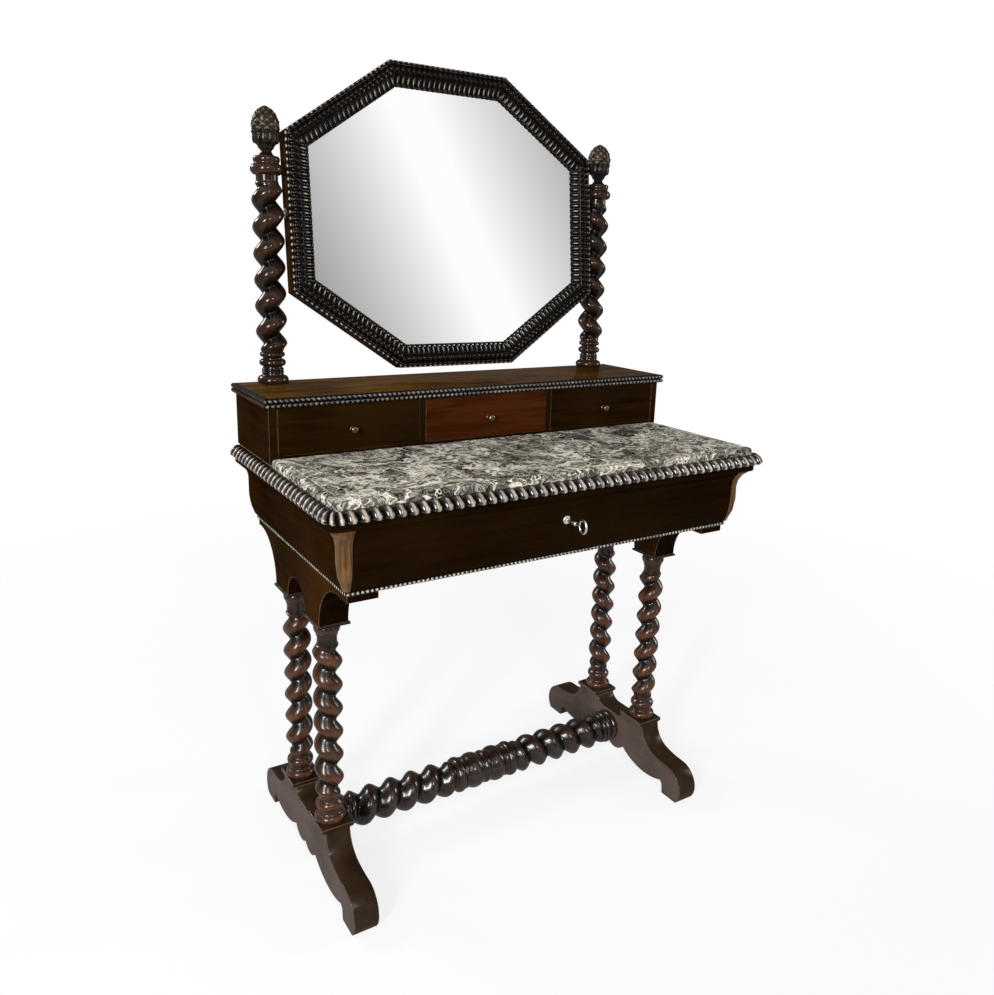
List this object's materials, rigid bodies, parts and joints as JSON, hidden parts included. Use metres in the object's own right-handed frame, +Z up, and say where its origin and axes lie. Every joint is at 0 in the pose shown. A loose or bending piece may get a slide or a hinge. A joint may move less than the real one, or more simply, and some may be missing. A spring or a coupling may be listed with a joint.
{
  "type": "dressing table",
  "caption": "Dressing table with twist-turned legs, a long lockable drawer under a marble top, a low case of small drawers and a tilting octagonal mirror on twist posts.",
  "frame": {"origin": "on the floor under the middle of the table's box", "axes": "+X to the right along the front, +Y to the back, +Z up"},
  "size_m": [0.92, 0.5616, 1.5039],
  "materials": {
    "dark_wood": "french polish",
    "black_polish": "gloss black polish",
    "corner_veneer": "french polish",
    "plain_wood": "plain planed wood",
    "marble": "polished veined marble",
    "mirror_glass": "silvered glass",
    "steel": "worn bright steel",
    "brass": "old brass"
  },
  "bodies": {
    "table": {"back_panel": "plain_wood", "bead_front": "dark_wood", "bead_sides": "dark_wood", "bottom_board": "dark_wood", "bracket_left": "dark_wood", "bracket_right": "dark_wood", "case_back": "plain_wood", "case_bottom": "dark_wood", "case_dividers": "dark_wood", "case_moulding_front": "dark_wood", "case_moulding_sides": "dark_wood", "case_side_left": "dark_wood", "case_side_right": "dark_wood", "case_top": "dark_wood", "corner_post_left": "corner_veneer", "corner_post_right": "corner_veneer", "drawer_guides": "plain_wood", "finial_left": "black_polish", "finial_right": "black_polish", "foot_left": "dark_wood", "foot_right": "dark_wood", "frieze_side_left": "dark_wood", "frieze_side_right": "dark_wood", "leg_front_left": "black_polish", "leg_front_right": "black_polish", "leg_rear_left": "black_polish", "leg_rear_right": "black_polish", "marble_top": "marble", "post_left": "black_polish", "post_right": "black_polish", "rim_front": "dark_wood", "rim_left": "dark_wood", "rim_right": "dark_wood", "stretcher": "black_polish", "top_board": "dark_wood", "top_panel": "plain_wood"},
    "long_drawer": {"long_drawer_front": "dark_wood", "long_drawer_sides": "plain_wood", "long_drawer_back": "plain_wood", "long_drawer_bottom": "plain_wood", "escutcheon": "brass", "lock_case": "steel"},
    "lock_bolt": {"lock_bolt": "steel"},
    "key": {"key": "steel"},
    "mirror": {"mirror_frame": "dark_wood", "mirror_glass": "mirror_glass", "mirror_backboard": "plain_wood", "mirror_pivots": "steel"},
    "left_drawer": {"left_drawer_front": "dark_wood", "left_drawer_box": "plain_wood", "left_drawer_bottom": "plain_wood", "left_drawer_knob": "black_polish"},
    "middle_drawer": {"middle_drawer_front": "dark_wood", "middle_drawer_box": "plain_wood", "middle_drawer_bottom": "plain_wood", "middle_drawer_knob": "black_polish"},
    "right_drawer": {"right_drawer_front": "dark_wood", "right_drawer_box": "plain_wood", "right_drawer_bottom": "plain_wood", "right_drawer_knob": "black_polish"}
  },
  "joints": [
    {"name": "long_drawer_slide", "type": "slide", "parent": "table", "child": "long_drawer", "axis": [0, -1, 0], "range_m": [0, 0.3]},
    {"name": "key_turn", "type": "hinge", "parent": "long_drawer", "child": "key", "pos_m": [-0.003, -0.22275, 0.704], "axis": [0, 1, 0], "range_deg": [0, 180]},
    {"name": "lock_bolt_slide", "type": "slide", "parent": "long_drawer", "child": "lock_bolt", "axis": [0, 0, 1], "range_m": [0, 0.006]},
    {"name": "mirror_tilt", "type": "hinge", "parent": "table", "child": "mirror", "pos_m": [0, 0.22225, 1.213], "axis": [1, 0, 0], "range_deg": [-24, 36]},
    {"name": "left_drawer_slide", "type": "slide", "parent": "table", "child": "left_drawer", "axis": [0, -1, 0], "range_m": [0, 0.14]},
    {"name": "middle_drawer_slide", "type": "slide", "parent": "table", "child": "middle_drawer", "axis": [0, -1, 0], "range_m": [0, 0.14]},
    {"name": "right_drawer_slide", "type": "slide", "parent": "table", "child": "right_drawer", "axis": [0, -1, 0], "range_m": [0, 0.14]}
  ],
  "couplings": [
    {"joint": "key_turn", "follows": "lock_bolt_slide", "rad_per_m": 523.59}
  ]
}
